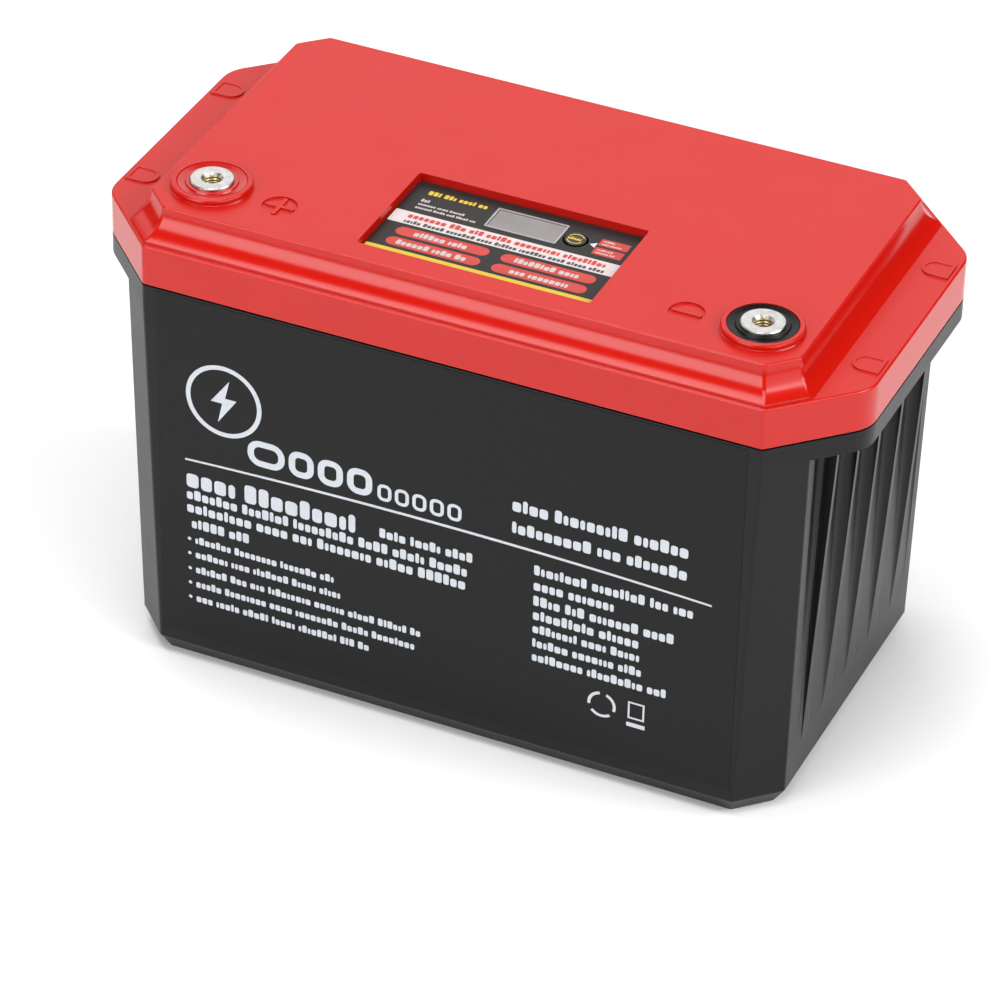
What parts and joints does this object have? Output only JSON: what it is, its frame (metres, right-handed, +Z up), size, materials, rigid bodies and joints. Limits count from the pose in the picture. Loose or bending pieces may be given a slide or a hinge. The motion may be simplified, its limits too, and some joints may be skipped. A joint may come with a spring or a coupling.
{
  "type": "deep cycle battery",
  "caption": "Sealed deep cycle battery: black case with finned ends, red lid with raised deck, threaded screw terminals, and a recessed display panel with a push button.",
  "frame": {"origin": "on the surface the case stands on, under the middle of the case", "axes": "+X along the case from the positive to the negative terminal, +Y from the labelled front to the back, +Z up"},
  "size_m": [0.33, 0.1711, 0.2161],
  "materials": {
    "case_black": "satin",
    "lid_red": "satin gloss",
    "seal_black": "matte",
    "seal_red": "satin",
    "terminal_metal": "tin plated face, bare brass thread",
    "label_film": "matte film",
    "front_film": "satin film",
    "bezel_silver": "satin",
    "lcd": "clear",
    "button_dark": "satin",
    "switch_black": "satin",
    "board_green": "satin",
    "chip_black": "satin",
    "connector_white": "satin",
    "steel": "plain",
    "cell_blue": "satin film",
    "aluminium": "plain",
    "copper": "plain",
    "plate_grey": "anodised",
    "sheet_green": "satin",
    "foam_black": "open foam",
    "strap": "plain",
    "cable_red": "satin",
    "cable_black": "satin",
    "wire_white": "satin",
    "thermal_pad": "matte"
  },
  "bodies": {
    "battery": {"base_pad": "foam_black", "bms_board": "board_green", "bms_cable_pads": "copper", "bms_connector": "connector_white", "bms_controller": "chip_black", "bms_heatsink": "aluminium", "bms_screws": "steel", "bms_shunt": "copper", "bms_standoffs": "steel", "bms_thermal_pad": "thermal_pad", "bms_transistors": "chip_black", "bms_tray": "sheet_green", "busbar_1": "copper", "busbar_2": "copper", "busbar_3": "copper", "cable_output_negative": "cable_black", "cable_pack_negative": "cable_black", "cable_positive": "cable_red", "cell_1": "cell_blue", "cell_2": "cell_blue", "cell_3": "cell_blue", "cell_4": "cell_blue", "cell_posts_negative": "aluminium", "cell_posts_positive": "aluminium", "cell_sheets": "sheet_green", "cell_vents": "aluminium", "container": "case_black", "display_board": "board_green", "display_cable": "cable_black", "display_connector": "connector_white", "display_label": "label_film", "display_screws": "steel", "end_foam_left": "foam_black", "end_foam_right": "foam_black", "end_plate_left": "plate_grey", "end_plate_right": "plate_grey", "front_label": "front_film", "lcd_bezel": "bezel_silver", "lcd_glass": "lcd", "lcd_module": "bezel_silver", "lid": "lid_red", "lid_seal": "seal_black", "lug_bolts": "steel", "pack_straps": "strap", "post_bolts": "steel", "post_lugs": "copper", "seal_ring_negative": "seal_black", "seal_ring_positive": "seal_red", "sense_harness": "wire_white", "switch_body": "switch_black", "temperature_sensor": "chip_black", "terminal_lugs": "copper", "terminal_negative": "terminal_metal", "terminal_positive": "terminal_metal"},
    "push_button": {"push_button": "button_dark", "switch_plunger": "switch_black"}
  },
  "joints": [
    {"name": "button_press", "type": "slide", "parent": "battery", "child": "push_button", "axis": [0, 0, -1], "range_m": [0, 0.0005], "stiffness_N_per_m": 1500, "springref_m": -0.0003}
  ]
}
